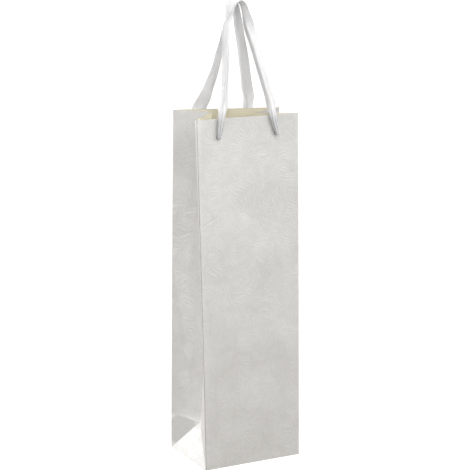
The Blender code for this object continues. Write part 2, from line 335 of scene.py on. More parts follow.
def makePearlPaper():
    made, shader = startMaterial("pearlPaper")
    place = readAttribute("flatPlace", "Vector")
    large = placeGroup(frostEmboss, Place=place, **pearlCoat["largeFans"])
    small = placeGroup(frostEmboss, Place=place, **pearlCoat["smallFans"])
    relief = calc("MAXIMUM", large["Height"], times(small["Height"], pearlCoat["smallShare"]))
    cover = calc("MAXIMUM", large["Cover"], small["Cover"])
    fibre = placeGroup(paperFibre, Place=place, Fineness=pearlCoat["fineness"])
    wear = placeGroup(foldWear, Place=place, Distance=readAttribute("foldNear", "Fac"),
                      Reach=pearlCoat["wearReach"])["Mask"]
    blotch = noiseAt(place, pearlCoat["blotchScale"], 2.0)
    blotch = ramp(blotch, *pearlCoat["blotchEdge"])
    # painted highlight: the ridges of the embossed strokes are made lighter in the colour
    tone = scaleAdd(cover, pearlCoat["coverTone"], times(relief, pearlCoat["reliefPaintedLight"]))
    tone = scaleAdd(blotch, pearlCoat["blotchTone"], tone)
    tone = plus(tone, times(fibre["Cloud"], pearlCoat["cloudTone"]), clamp=True)
    color = mixColor(tone, pearlCoat["deep"], pearlCoat["light"])
    color = mixColor(times(wear, pearlCoat["wearTone"]), color, pearlCoat["worn"])
    rough = scaleAdd(relief, pearlCoat["reliefGloss"], pearlCoat["roughness"])
    rough = scaleAdd(wear, pearlCoat["wearRough"], rough)
    metal = scaleAdd(wear, pearlCoat["wearMetal"], pearlCoat["metallic"])
    feedAll(shader, {"Base Color": color, "Roughness": rough, "Metallic": metal,
                       "Specular IOR Level": pearlCoat["specular"]})
    start = Vector(pearlCoat["dentFrom"])
    run = Vector(pearlCoat["dentTo"]) - start
    offset = vectorCalc("SUBTRACT", place, tuple(start))
    travel = calc("DIVIDE", vectorCalc("DOT_PRODUCT", offset, tuple(run)), run.length_squared, clamp=True)
    aside = vectorCalc("SUBTRACT", offset, vectorCalc("SCALE", tuple(run), scale=travel))
    dent = ramp(vectorCalc("LENGTH", aside), pearlCoat["dentWidth"], 0.0)
    dent = times(dent, calc("SINE", times(travel, math.pi)))
    first = addBump(shader, fibre["Height"], pearlCoat["fibreDepth"])
    second = addBump(shader, minus(1.0, dent), pearlCoat["dentDepth"], under=first)
    addBump(shader, relief, pearlCoat["reliefDepth"], under=second)
    return made


creamLining = {
    "light": (0.830, 0.785, 0.635, 1.0),
    "deep": (0.765, 0.715, 0.560, 1.0),
    "roughness": 0.80,
    "specular": 0.25,
    "fibreTone": 0.4,
    "cloudTone": 0.6,
    "fibreRough": 0.1,
    "fibreDepth": 0.00004,
    "backDepth": 0.00005,  # the embossing shows faintly from behind
}


def makeCreamLining():
    made, shader = startMaterial("creamLining")
    place = readAttribute("flatPlace", "Vector")
    fibre = placeGroup(paperFibre, Place=place)
    back = placeGroup(frostEmboss, Place=place, **pearlCoat["largeFans"])
    clouds = times(fibre["Cloud"], creamLining["cloudTone"])
    tone = scaleAdd(fibre["Height"], creamLining["fibreTone"], clouds)
    feedAll(shader, {
        "Base Color": mixColor(tone, creamLining["deep"], creamLining["light"]),
        "Roughness": scaleAdd(fibre["Height"], creamLining["fibreRough"], creamLining["roughness"]),
        "Specular IOR Level": creamLining["specular"],
    })
    first = addBump(shader, fibre["Height"], creamLining["fibreDepth"])
    addBump(shader, times(back["Height"], -1.0), creamLining["backDepth"], under=first)
    return made


stock = {
    "specular": 0.2,
    "flecks": 420.0,
    "fleckEdge": (0.16, 0.08),
    "fleckTone": -0.35,
    "fibreRough": 0.1,
}


def makeFibreStock(name, light, deep, roughness, fineness, depth):
    # plain felted stock, for cut edges, card and board
    made, shader = startMaterial(name)
    place = addNode("ShaderNodeTexCoord").outputs["Object"]
    fibre = placeGroup(paperFibre, Place=place, Fineness=fineness)
    speck = cellsAt(place, stock["flecks"], feature="F1").outputs["Distance"]
    flecks = ramp(speck, *stock["fleckEdge"])
    tone = scaleAdd(fibre["Cloud"], 0.5, times(fibre["Height"], 0.5))
    tone = scaleAdd(flecks, stock["fleckTone"], tone, clamp=True)
    feedAll(shader, {
        "Base Color": mixColor(tone, (*deep, 1.0), (*light, 1.0)),
        "Roughness": scaleAdd(fibre["Height"], stock["fibreRough"], roughness),
        "Specular IOR Level": stock["specular"],
    })
    addBump(shader, fibre["Height"], depth)
    return made


satin = {
    "width": 0.015,
    "light": (0.805, 0.808, 0.818, 1.0),
    "deep": (0.650, 0.654, 0.670, 1.0),
    "paintedPleatShade": (0.300, 0.302, 0.312, 1.0),
    "roughness": 0.34,
    "edgeRough": 0.2,
    "threads": 0.00022,
    "weftRatio": 1.3,
    "ties": (900.0, 2600.0),  # along and across
    "tieEdge": (0.30, 0.12),
    "tieDepth": -0.6,
    "warpDepth": 0.35,
    "slubs": (60.0, 900.0),
    "slubTone": 0.75,
    "weaveTone": 0.45,
    "edgeTone": -0.35,
    "selvedge": (0.0009, 0.00054),
    "pleat": 0.0025,
    "gathered": (0.45, 0.95),  # pleats where the ribbon is bunched, their hollows darkened with painted shade
    "paintedPleatShadeEdge": (0.6, -0.9),
    "paintedPleatShadeTone": 0.6,
    "weaveDepth": 0.00005,
    "weaveStrength": 0.8,
    "pleatDepth": 0.00025,
    "shader": {"Specular IOR Level": 0.35, "Sheen Weight": 0.15, "Sheen Roughness": 0.35,
               "Subsurface Weight": 0.85, "Subsurface Radius": (1.0, 1.0, 1.0),
               "Subsurface Scale": 0.0008},  # thin cloth lets the light through
}


def makeSatin():
    # long warp floats lie along the ribbon, tied down at scattered points, with a plain woven edge
    made, shader = startMaterial("satinRibbon")
    along, across, curl = splitVector(readAttribute("weavePlace", "Vector"))

    def stripes(value, width):
        return calc("SINE", times(value, 2.0 * math.pi / width))

    def stretched(scales):
        return joinVector(times(along, scales[0]), times(across, scales[1]), 0.0)

    warp = stripes(across, satin["threads"])
    weft = stripes(along, satin["threads"] * satin["weftRatio"])
    ties = cellsAt(stretched(satin["ties"]), 1.0, voronoi_dimensions="2D", feature="F1")
    tied = ramp(ties.outputs["Distance"], *satin["tieEdge"])
    slub = noiseAt(stretched(satin["slubs"]), 1.0, 2.0)
    fromEdge = minus(satin["width"] * 0.5, calc("ABSOLUTE", across))
    edge = ramp(fromEdge, *satin["selvedge"])
    weave = scaleAdd(warp, satin["warpDepth"], 0.5)
    weave = scaleAdd(tied, satin["tieDepth"], weave)
    plain = scaleAdd(times(warp, weft), 0.5, 0.5)
    height = plus(times(weave, minus(1.0, edge)), times(plain, edge))
    tone = scaleAdd(slub, satin["slubTone"], times(height, satin["weaveTone"]))
    tone = scaleAdd(edge, satin["edgeTone"], tone, clamp=True)
    gathered = ramp(curl, *satin["gathered"])
    pleat = stripes(across, satin["pleat"])
    # painted shade: the pleat hollows of bunched ribbon and of the knots are darkened in the colour
    paintedPleatShade = times(gathered, ramp(pleat, *satin["paintedPleatShadeEdge"]))
    color = mixColor(tone, satin["deep"], satin["light"])
    color = mixColor(times(paintedPleatShade, satin["paintedPleatShadeTone"]), color, satin["paintedPleatShade"])
    rough = scaleAdd(edge, satin["edgeRough"], satin["roughness"])
    feedAll(shader, {"Base Color": color, "Roughness": rough, **satin["shader"]})
    woven = addBump(shader, height, satin["weaveDepth"], satin["weaveStrength"])
    addBump(shader, times(pleat, gathered), satin["pleatDepth"], under=woven)
    return made


pearlPaper = makePearlPaper()
creamPaper = makeCreamLining()
cutEdge = makeFibreStock("cutEdge", (0.50, 0.48, 0.43), (0.34, 0.32, 0.29), 0.85, 1.6, 0.00002)
# the seam's raw edge: the cut edge's own fibre tone, darkened further as painted shade for the shadow line
# under the panel's edge
rawEdgeShadow = makeFibreStock("rawEdgeShadow", (0.30, 0.28, 0.25), (0.17, 0.16, 0.14), 0.85, 1.6, 0.00002)
greyCard = makeFibreStock("greyCard", (0.60, 0.57, 0.51), (0.46, 0.43, 0.38), 0.85, 0.7, 0.00003)
whiteBoard = makeFibreStock("whiteBoard", (0.85, 0.82, 0.75), (0.74, 0.71, 0.63), 0.80, 0.6, 0.00003)
satinRibbon = makeSatin()
print("materials made")


# the rule for a wall's edges

def edgeAt(name, z):
    low, high = (Vector(end) for end in bag[name])
    if name.endswith("Crease"):
        rise = max(z - bag["creaseFrom"], 0.0) / (bag["height"] - bag["creaseFrom"])
        return low.lerp(high, rise ** bag["creasePower"])
    return low.lerp(high, (z / bag["height"]) ** bag["leanPower"])


# Geometry Nodes: a sheet standing between two drifting edges

sheetSway = {
    "insetPower": 3.0,
    "rimEase": 0.09,
    "baseEase": (0.004, 0.06),
    "foldEase": 0.03,
    "rippleScale": 13.0,
    "seamReach": 0.0040,
}


def creasedSheetTree():
    counts = (("Columns", 24), ("Rows", 90))
    sizes = (
        ("Low", 0.0), ("High", 0.356), ("Bag Height", 0.356), ("Paper", 0.0004), ("Shift", 0.0),
        ("Start From", 0.0), ("Start Power", 1.3), ("End From", 0.0), ("End Power", 1.3),
        ("Start Inset Low", 0.0), ("Start Inset High", 0.0), ("End Inset Low", 0.0),
        ("End Inset High", 0.0), ("Puff", 0.0), ("Ripple", 0.0), ("Ripple Seed", 0.0),
        ("Start Ease", 0.0), ("Still From Top", 0.05),
    )
    ends = ("Start Low", "Start High", "End Low", "End High")
    coats = ("Outside", "Inside", "Rim", "Start Rim", "End Rim")
    inputs = [(name, "NodeSocketInt", value) for name, value in counts]
    inputs += [(name, "NodeSocketFloat", value) for name, value in sizes]
    inputs += [(name, "NodeSocketVector", None) for name in ends]
    inputs += [(name, "NodeSocketMaterial", None) for name in coats]
    outputs = (("Sheet", "NodeSocketGeometry"),)
    tree, given, out = newGroup("creasedSheet", "GeometryNodeTree", inputs, outputs)

    block = addNode("GeometryNodeMeshCube")
    feedAll(block, {"Vertices X": given["Columns"], "Vertices Y": 2, "Vertices Z": given["Rows"]})
    grid = addNode("GeometryNodeCaptureAttribute", domain="POINT")
    grid.capture_items.new("VECTOR", "Grid")
    feed(grid.inputs["Geometry"], block.outputs["Mesh"])
    feed(grid.inputs["Grid"], addNode("GeometryNodeInputPosition").outputs[0])
    across, side, up = splitVector(grid.outputs["Grid"])
    smooth = addNode("GeometryNodeSetShadeSmooth", domain="FACE")
    feed(smooth.inputs["Geometry"], grid.outputs["Geometry"])

    share = plus(across, 0.5)
    level = plus(up, 0.5)
    z = scaleAdd(level, minus(given["High"], given["Low"]), given["Low"])

    def driftingEdge(name):
        fromHeight = given[name + " From"]
        whole = minus(given["Bag Height"], fromHeight)
        rise = calc("DIVIDE", minus(z, fromHeight), whole, clamp=True)
        rise = calc("POWER", rise, given[name + " Power"])
        step = vectorCalc("SUBTRACT", given[name + " High"], given[name + " Low"])
        return vectorCalc("ADD", given[name + " Low"], vectorCalc("SCALE", step, scale=rise))

    def inset(name):
        rise = calc("POWER", calc("DIVIDE", z, given["Bag Height"]), sheetSway["insetPower"])
        low = given[name + " Inset Low"]
        change = minus(given[name + " Inset High"], low)
        return scaleAdd(rise, change, low)

    start = driftingEdge("Start")
    chord = vectorCalc("SUBTRACT", driftingEdge("End"), start)
    whole = vectorCalc("LENGTH", chord)
    along = vectorCalc("NORMALIZE", chord)
    inward = vectorCalc("CROSS_PRODUCT", (0.0, 0.0, 1.0), along)
    first = inset("Start")
    last = inset("End")
    span = minus(minus(whole, first), last)
    travel = scaleAdd(share, span, first)
    toEnd = minus(whole, travel)
    toFold = calc("MINIMUM", travel, toEnd)

    # paper never hangs quite flat: it puffs out between its folds and ripples a little
    still = given["Still From Top"]
    calm = ramp(minus(given["Bag Height"], z), still, plus(still, sheetSway["rimEase"]))
    calm = times(calm, ramp(z, *sheetSway["baseEase"]))
    calm = times(calm, ramp(toFold, 0.0, sheetSway["foldEase"]))
    spot = joinVector(travel, z, given["Ripple Seed"])
    noise = noiseAt(spot, sheetSway["rippleScale"], 1.5, "3D")
    wander = times(minus(noise, 0.5), given["Ripple"])
    arch = calc("SINE", times(calc("DIVIDE", travel, whole), math.pi))
    puff = times(times(arch, given["Puff"]), -1.0)
    drift = times(plus(wander, puff), calm)
    ease = times(given["Start Ease"], ramp(travel, sheetSway["seamReach"], 0.0))
    thick = times(side, given["Paper"])
    offset = plus(plus(given["Shift"], drift), plus(ease, thick))
    spot = vectorCalc("ADD", start, vectorCalc("SCALE", along, scale=travel))
    spot = vectorCalc("ADD", spot, vectorCalc("SCALE", inward, scale=offset))
    spot = vectorCalc("ADD", spot, joinVector(0.0, 0.0, z))
    place = addNode("GeometryNodeSetPosition")
    feedAll(place, {"Geometry": smooth.outputs[0], "Position": spot})
    realize = addNode("GeometryNodeRealizeInstances")
    feed(realize.inputs[0], place.outputs[0])
    mesh = realize.outputs[0]
    for name, value, operation, limit in (
            ("Rim", side, "GREATER_THAN", -9.0), ("Outside", up, "LESS_THAN", -0.499),
            ("Start Rim", across, "LESS_THAN", -0.499), ("End Rim", across, "GREATER_THAN", 0.499),
            ("Outside", side, "LESS_THAN", -0.499), ("Inside", side, "GREATER_THAN", 0.499)):
        chosen = addNode("FunctionNodeCompare", data_type="FLOAT", operation=operation)
        feed(chosen.inputs[0], value)
        feed(chosen.inputs[1], limit)
        coat = addNode("GeometryNodeSetMaterial")
        feedAll(coat, {"Geometry": mesh, "Selection": chosen.outputs[0], "Material": given[name]})
        mesh = coat.outputs[0]
    feed(out["Sheet"], mesh)
    return tree


creasedSheet = creasedSheetTree()


def inputKey(tree, name):
    for item in tree.interface.items_tree:
        if item.item_type == "SOCKET" and item.in_out == "INPUT" and item.name == name:
            return item.identifier
    raise KeyError(name)


def linkObject(name, mesh):
    made = bpy.data.objects.new(name, mesh)
    bpy.context.scene.collection.objects.link(made)
    return made


def meshObject(name, bm, coats=()):
    mesh = bpy.data.meshes.new(name)
    bm.to_mesh(mesh)
    bm.free()
    for coat in coats:
        mesh.materials.append(coat)
    return linkObject(name, mesh)


def camel(node):
    first, *others = node.split("_")
    return first + "".join(word.title() for word in others)


def insets(sides, low, high=None):
    # how far short of each end's fold a sheet stops, at the base and at the rim
    high = low if high is None else high
    return {f"{side} Inset {end}": value for side in sides for end, value in (("Low", low), ("High", high))}


def bake(obj):
    # turns the evaluated result into a plain mesh and drops the modifiers
    bpy.context.view_layer.update()
    mesh = bpy.data.meshes.new_from_object(obj.evaluated_get(bpy.context.evaluated_depsgraph_get()))
    obj.modifiers.clear()
    obj.data = mesh
    mesh.name = obj.name
    return obj


def layFlat(obj, start, end, flatStart):
    # where each point lies on the flat sheet before folding, and how far the nearest fold is
    places = []
    gaps = []
    for vertex in obj.data.vertices:
        z = vertex.co.z
        a = edgeAt(start, z)
        b = edgeAt(end, z)
        whole = (b - a).length
        travel = (vertex.co.xy - a).dot((b - a) / whole)
        places += (flatStart + travel, z, 0.0)
        gaps.append(max(min(travel, whole - travel), 0.0))
    obj.data.attributes.new("flatPlace", "FLOAT_VECTOR", "POINT").data.foreach_set("vector", places)
    obj.data.attributes.new("foldNear", "FLOAT", "POINT").data.foreach_set("value", gaps)


def makeSheet(node, start, end, low, high, flatStart, coats, values, holes=()):
    obj = linkObject(camel(node), bpy.data.meshes.new(camel(node)))
    modifier = obj.modifiers.new("creasedSheet", "NODES")
    modifier.node_group = creasedSheet
    settings = {"Low": low, "High": high, "Bag Height": bag["height"], "Paper": bag["paper"],
                "Outside": coats[0], "Inside": coats[1], "Rim": cutEdge, "Start Rim": coats[0],
                "End Rim": coats[0], "Shift": 0.0}
    for label, edge in (("Start", start), ("End", end)):
        settings[label + " Low"] = (*bag[edge][0], 0.0)
        settings[label + " High"] = (*bag[edge][1], 0.0)
        isCrease = edge.endswith("Crease")
        settings[label + " From"] = bag["creaseFrom"] if isCrease else 0.0
        settings[label + " Power"] = bag["creasePower"] if isCrease else bag["leanPower"]
    settings.update(values)
    for label, value in settings.items():
        modifier[inputKey(creasedSheet, label)] = value
    bake(obj)
    obj.data.materials[0] = cutEdge  # the slot that the hole walls take
    for tool in holes:
        cut = obj.modifiers.new("ribbonHole", "BOOLEAN")
        cut.operation = "DIFFERENCE"
        cut.solver = "EXACT"
        cut.object = tool
    if holes:
        bake(obj)
    layFlat(obj, start, end, flatStart)
    return obj


# the ribbon holes

ribbonHoles = {
    "drop": 0.018,
    "radius": 0.0025,
    "front": (0.22, 0.785),
    "back": (0.22, 0.74),
    "axisOut": 0.0024,
    "toolLength": 0.016,
    "toolSides": 40,
}


def holeSpot(face, share, z):
    a = edgeAt(face + "Left", z)
    b = edgeAt(face + "Right", z)
    along = (b - a).normalized()
    outward = Vector((along.y, -along.x, 0.0)) * (1.0 if face == "front" else -1.0)
    return a.lerp(b, share).to_3d() + Vector((0.0, 0.0, z)), outward


def holeTool(name, face, share):
    spot, outward = holeSpot(face, share, bag["height"] - ribbonHoles["drop"])
    bm = bmesh.new()
    bmesh.ops.create_cone(bm, cap_ends=True, segments=ribbonHoles["toolSides"],
                          radius1=ribbonHoles["radius"], radius2=ribbonHoles["radius"],
                          depth=ribbonHoles["toolLength"])
    tool = meshObject(name, bm)
    tool.data.transform(outward.to_track_quat("Z", "Y").to_matrix().to_4x4())
    tool.data.transform(Matrix.Translation(spot))
    tool.hide_render = True
    tool.display_type = "WIRE"
    return tool


holeTools = {}
for face in ("front", "back"):
    holeTools[face] = [holeTool(f"holeTool.{face}.{k}", face, share)
                       for k, share in enumerate(ribbonHoles[face])]

# walls, gussets and the pieces inside the rim

frontWidth = 0.106
gussetHalf = 0.039
flatAt = {
    "front": 0.0,
    "rightFront": frontWidth,
    "rightRear": frontWidth + gussetHalf,
    "back": frontWidth + 2.0 * gussetHalf,
    "leftRear": 2.0 * frontWidth + 2.0 * gussetHalf,
    "leftFront": 2.0 * frontWidth + 3.0 * gussetHalf,
}

walls = {
    "broad": {"Columns": 44, "Rows": 150, "Puff": 0.0016, "Ripple": 0.0050},
    "narrow": {"Columns": 20, "Rows": 150, "Puff": 0.0004, "Ripple": 0.0030},
    "seamStrip": (0.0003, 0.0018),  # the flap shows beside the panel's raw edge
    "seamLift": -0.0005,
    "seamGap": 0.0002,
}


def makeWalls():
    top = bag["height"]
    crease = bag["creaseFrom"]
    # the panel's raw edge at the seam takes the darker stock, painted shade for the shadow under it
    seam = {**insets(("Start",), *walls["seamStrip"]), "Start Ease": walls["seamLift"], "Start Rim": rawEdgeShadow}
    made = {}
    for seed, (node, start, end, low, flat, size, more) in enumerate((
            ("front_panel", "frontLeft", "frontRight", 0.0, "front", "broad", seam),
            ("back_panel", "backRight", "backLeft", 0.0, "back", "broad", {}),
            ("right_gusset_front_half", "frontRight", "rightCrease", crease, "rightFront", "narrow", {}),
            ("right_gusset_rear_half", "rightCrease", "backRight", crease, "rightRear", "narrow", {}),
            ("left_gusset_rear_half", "backLeft", "leftCrease", crease, "leftRear", "narrow", {}),
            ("left_gusset_front_half", "leftCrease", "frontLeft", crease, "leftFront", "narrow",
             insets(("End",), walls["seamGap"])))):
        made[node] = makeSheet(node, start, end, low, top, flatAt[flat], (pearlPaper, creamPaper),
                               {**walls[size], **more, "Ripple Seed": seed + 1.0}, holeTools.get(flat, ()))
    return made


rimParts = {
    "belowRim": 0.0005,
    "collarDepth": 0.038,
    "cardDepth": 0.032,
    "cardThick": 0.0008,
    "gap": 0.0002,
    "cardInset": 0.014,
    "collarInset": 0.012,
}


def makeRimParts():
    top = bag["height"] - rimParts["belowRim"]
    low = top - rimParts["collarDepth"]
    paper = bag["paper"]
    card = rimParts["cardThick"]
    gap = rimParts["gap"]
    cream = (creamPaper, creamPaper)
    both = ("Start", "End")
    made = {}
    for face, start, end in (("front", "frontLeft", "frontRight"), ("back", "backRight", "backLeft")):
        node = face + "_top_card"
        made[node] = makeSheet(
            node, start, end, top - rimParts["cardDepth"], top, flatAt[face], (greyCard, greyCard),
            {"Columns": 20, "Rows": 12, "Paper": card, "Shift": 0.5 * (paper + card) + gap,
             **insets(both, rimParts["cardInset"])}, holeTools[face])
        node = face + "_inner_collar"
        made[node] = makeSheet(
            node, start, end, low, top, flatAt[face], cream,
            {"Columns": 24, "Rows": 14, "Shift": paper + card + 2.0 * gap,
             **insets(both, rimParts["collarInset"])}, holeTools[face])
    for node, start, end, flat, side in (
            ("right_inner_collar_front", "frontRight", "rightCrease", "rightFront", "Start"),
            ("right_inner_collar_rear", "rightCrease", "backRight", "rightRear", "End"),
            ("left_inner_collar_rear", "backLeft", "leftCrease", "leftRear", "Start"),
            ("left_inner_collar_front", "leftCrease", "frontLeft", "leftFront", "End")):
        made[node] = makeSheet(
            node, start, end, low, top, flatAt[flat], cream,
            {"Columns": 12, "Rows": 14, "Shift": paper + gap, **insets((side,), rimParts["collarInset"])})
    return made


seamFlap = {
    "width": 0.0145,
    "flatBefore": 0.02,
    "lift": -0.0002,
    "shift": 0.75,  # this and the next in thicknesses of paper
    "thick": 0.6,
}


def makeSeamFlap():
    # folded round the corner from the side gusset; the front panel's raw edge lies on it
    paper = bag["paper"]
    return makeSheet("glue_seam_flap", "frontLeft", "frontRight", 0.0, bag["height"],
                     flatAt["front"] - seamFlap["flatBefore"], (pearlPaper, creamPaper),
                     {"Columns": 8, "Rows": 120, "End Rim": cutEdge, "Start Ease": seamFlap["lift"],
                      "Shift": paper * seamFlap["shift"], "Paper": paper * seamFlap["thick"],
                      **insets(("End",), frontWidth - seamFlap["width"])})


visual = makeWalls()
visual.update(makeRimParts())
visual["glue_seam_flap"] = makeSeamFlap()
print("walls, collar and cards made")


# foot triangles, base flaps and board

def sheetSolid(name, outline, normal, thick, coats, flatOutline, divisions=0, rimCoat=None):
    # a flat sheet from its outline, coated outside, inside and round its rim
    bm = bmesh.new()
    place = bm.verts.layers.float_vector.new("flatPlace")
    near = bm.verts.layers.float.new("foldNear")
    rings = []
    for side in (-0.5, 0.5):
        ring = []
        for point, flat in zip(outline, flatOutline):
            vertex = bm.verts.new(Vector(point) + Vector(normal) * side * thick)
            vertex[place] = (flat[0], flat[1], 0.0)
            ring.append(vertex)
        rings.append(ring)
    outside = bm.faces.new(rings[1])
    inside = bm.faces.new(list(reversed(rings[0])))
    outside.material_index = 0
    inside.material_index = 1
    count = len(outline)
    for i in range(count):
        k = (i + 1) % count
        rim = bm.faces.new((rings[0][i], rings[0][k], rings[1][k], rings[1][i]))
        rim.material_index = 2
    if divisions:
        bmesh.ops.subdivide_edges(bm, edges=bm.edges[:], cuts=divisions, use_grid_fill=True)
    bmesh.ops.recalc_face_normals(bm, faces=bm.faces[:])
    corners = [Vector(point) for point in outline]
    for vertex in bm.verts:
        gaps = []
        for a, b in zip(corners, corners[1:] + corners[:1]):
            run = b - a
            t = max(0.0, min(1.0, (vertex.co - a).dot(run) / run.length_squared))
            gaps.append((vertex.co - a - run * t).length)
        vertex[near] = max(min(gaps) - 0.5 * thick, 0.0)
    return meshObject(name, bm, (*coats, rimCoat or cutEdge))


base = {
    "footCuts": 5,
    "flapCuts": 3,
    "gap": 0.0003,
    "margin": 0.0004,
    "taper": 0.020,
    "past": 0.010,  # how far a flap reaches past the middle
    "dustOut": (0.0515, 0.037),
    "dustIn": (0.026, 0.014),
    "flatShift": 0.06,
    "nip": 0.002,
    "nipSteps": 4,
}


def makeFoot(side):
    crease = bag["creaseFrom"]

    def corner(edge, z):
        return edgeAt(edge, z).to_3d() + Vector((0.0, 0.0, z))

    frontLow, frontHigh = (corner("front" + side.title(), z) for z in (0.0, crease))
    backLow, backHigh = (corner("back" + side.title(), z) for z in (0.0, crease))
    point = corner(side + "Crease", crease)
    across = -1.0 if side == "left" else 1.0
    flat = flatAt["leftRear"] if side == "left" else flatAt["rightFront"]
    wide = 2.0 * gussetHalf
    flatPoint = (flat + gussetHalf, gussetHalf)
    frontFlat = flat + wide if side == "left" else flat
    backFlat = flat if side == "left" else flat + wide
    made = {}
    for name, outline, flatOutline in (
            ("middle", (frontLow, backLow, point), ((frontFlat, 0.0), (backFlat, 0.0), flatPoint)),
            ("front", (frontLow, point, frontHigh), ((frontFlat, 0.0), flatPoint, (frontFlat, crease))),
            ("rear", (backLow, backHigh, point), ((backFlat, 0.0), (backFlat, crease), flatPoint))):
        normal = (outline[1] - outline[0]).cross(outline[2] - outline[0]).normalized()
        if normal.x * across < 0.0:
            normal = -normal
        node = f"{side}_foot_{name}"
        made[node] = sheetSolid(camel(node), outline, normal, bag["paper"], (pearlPaper, creamPaper),
                                flatOutline, base["footCuts"], pearlPaper)
    return made


def makeBase():
    paper = bag["paper"]
    x = 0.5 * frontWidth - base["margin"]
    y = gussetHalf - base["margin"]
    inner = x - base["taper"]
    past = base["past"]
    (outX, outY), (inX, inY) = base["dustOut"], base["dustIn"]
    flap = ((-x, -y), (x, -y), (inner, past), (-inner, past))
    dust = ((-outX, -outY), (-outX, outY), (-inX, inY), (-inX, -inY))
    made = {}
    for node, outline, sign, layer in (
            ("front_base_flap", flap, 1.0, 0), ("back_base_flap", flap, -1.0, 1),
            ("left_dust_flap", dust, 1.0, 2), ("right_dust_flap", dust, -1.0, 2)):
        low = layer * (paper + base["gap"])
        points = [(sign * px, sign * py, low + 0.5 * paper) for px, py in outline]
        flats = [(px + base["flatShift"], py - base["flatShift"]) for px, py, _ in points]
        made[node] = sheetSolid(camel(node), points, (0.0, 0.0, -1.0), paper, (pearlPaper, creamPaper),
                                flats, base["flapCuts"])
    return made


visual.update(makeFoot("left"))
visual.update(makeFoot("right"))
visual.update(makeBase())


def makeBoard():
    # stiff card cut to drop in, its corners nipped round
    (x0, y0, z0), (x1, y1, z1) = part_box("base_board")
    radius = base["nip"]
    steps = base["nipSteps"]
    outline = []
    for cx, cy, turn in ((x1, y1, 0), (x0, y1, 1), (x0, y0, 2), (x1, y0, 3)):
        middle = Vector((cx - math.copysign(radius, cx), cy - math.copysign(radius, cy)))
        for k in range(steps + 1):
            angle = 0.5 * math.pi * (turn + k / steps)
            outline.append((middle.x + radius * math.cos(angle), middle.y + radius * math.sin(angle)))
    points = [(px, py, 0.5 * (z0 + z1)) for px, py in outline]
    return sheetSolid("baseBoard", points, (0.0, 0.0, 1.0), z1 - z0, (whiteBoard, greyCard), outline)


visual["base_board"] = makeBoard()
print("base made")

# satin ribbons

handles = {
    "width": 0.015,
    "thick": 0.00032,
    "columns": 24,
    "stepsBetween": 9,
    "rimOut": 0.0030,
    "aboveRim": 1.0,  # in millimetres
    "bow": 0.0002,
    "leastCurl": 0.02,
    "creaseRound": 0.0006,
    "tuck": 0.16,
    "widths": ((0.0, 0.0115), (0.03, 0.0140), (0.06, 0.015), (0.94, 0.015), (0.97, 0.0140), (1.0, 0.0115)),
}


def mm(x, y, z):
    return Vector((x, y, z)) * 0.001


def smoothPath(points, steps):
    path = []
    for i in range(len(points) - 1):
        before = points[max(i - 1, 0)]
        after = points[min(i + 2, len(points) - 1)]
        a, b = points[i], points[i + 1]
        for k in range(steps):
            t = k / steps
            path.append((a * 2.0 + (b - before) * t + (before * 2.0 - a * 5.0 + b * 4.0 - after) * t * t
                         + (a * 3.0 - before - b * 3.0 + after) * t ** 3) * 0.5)
    path.append(points[-1])
    return path


def mixAt(table, value):
    if value <= table[0][0]:
        return table[0][1]
    for (a, low), (b, high) in zip(table, table[1:]):
        if value <= b:
            t = (value - a) / (b - a)
            return low + (high - low) * t * t * (3.0 - 2.0 * t)
    return table[-1][1]


def ribbonSection(width, curl, squash, crease):
    # flat at curl 0 and rolled into a tube at curl 1, then squashed, then creased along its middle
    curl = max(curl, handles["leastCurl"])
    radius = width / (2.0 * math.pi * curl)
    low = 1.0 - squash
    wide = math.sqrt(2.0 - low * low)
    slope = 1.0 / math.sqrt(1.0 + crease * crease)
    points = []
    for k in range(handles["columns"] + 1):
        share = 2.0 * k / handles["columns"] - 1.0
        angle = math.pi * curl * share
        inner = radius * (1.0 - handles["tuck"] * curl * (share + 1.0) * 0.5)
        u = inner * math.sin(angle) * wide * slope
        v = inner * math.cos(angle) * low
        soft = handles["creaseRound"]
        points.append((u, v - crease * (math.sqrt(u * u + soft * soft) - soft)))
    middle = sum(v for u, v in points) / len(points)
    return [(u, v - middle) for u, v in points]


def aheadAt(path, i):
    return (path[min(i + 1, len(path) - 1)] - path[max(i - 1, 0)]).normalized()


def skinRows(bm, rows, count):
    for low, high in zip(rows, rows[1:]):
        for k in range(count):
            n = (k + 1) % len(low)
            bm.faces.new((low[k], low[n], high[n], high[k])).smooth = True


def sweepRibbon(name, path, shape):
    travel = [0.0]
    for a, b in zip(path, path[1:]):
        travel.append(travel[-1] + (b - a).length)
    whole = travel[-1]
    columns = handles["columns"]
    bm = bmesh.new()
    weave = bm.verts.layers.float_vector.new("weavePlace")
    rows = []
    for i, spot in enumerate(path):
        ahead = aheadAt(path, i)
        share = travel[i] / whole
        turn = math.radians(mixAt(shape["turns"], share))
        across = Vector((math.sin(turn), math.cos(turn), 0.0))
        across = (across - ahead * across.dot(ahead)).normalized()
        facing = across.cross(ahead)
        curl, squash, crease = (mixAt(shape[key], share) for key in ("curls", "squashes", "creases"))
        row = []
        for k, (u, v) in enumerate(ribbonSection(mixAt(handles["widths"], share), curl, squash, crease)):
            vertex = bm.verts.new(spot + across * u + facing * v)
            # the curl is kept for the satin, which paints shade into the pleat hollows where it is high
            vertex[weave] = (travel[i], satin["width"] * (k / columns - 0.5), curl)
            row.append(vertex)
        rows.append(row)
    skinRows(bm, rows, columns)
    obj = meshObject(name, bm, (satinRibbon,))
    body = obj.modifiers.new("thickness", "SOLIDIFY")
    body.thickness = handles["thick"]
    body.offset = 0.0
    return bake(obj), whole


def strandFoot(face, share, lean):
    # from the hinge line up the outside of the panel, drifting sideways by lean to the rim
    spot, outward = holeSpot(face, share, bag["height"] - ribbonHoles["drop"])
    edge, leaning = holeSpot(face, share, bag["height"])
    aside = Vector((-leaning.y, leaning.x, 0.0)) * (1.0 if face == "front" else -1.0)
    low = spot + outward * ribbonHoles["axisOut"]
    high = edge + leaning * handles["rimOut"] + aside * lean + mm(0.0, 0.0, handles["aboveRim"])
    return low, low.lerp(high, 0.5) + outward * handles["bow"], high


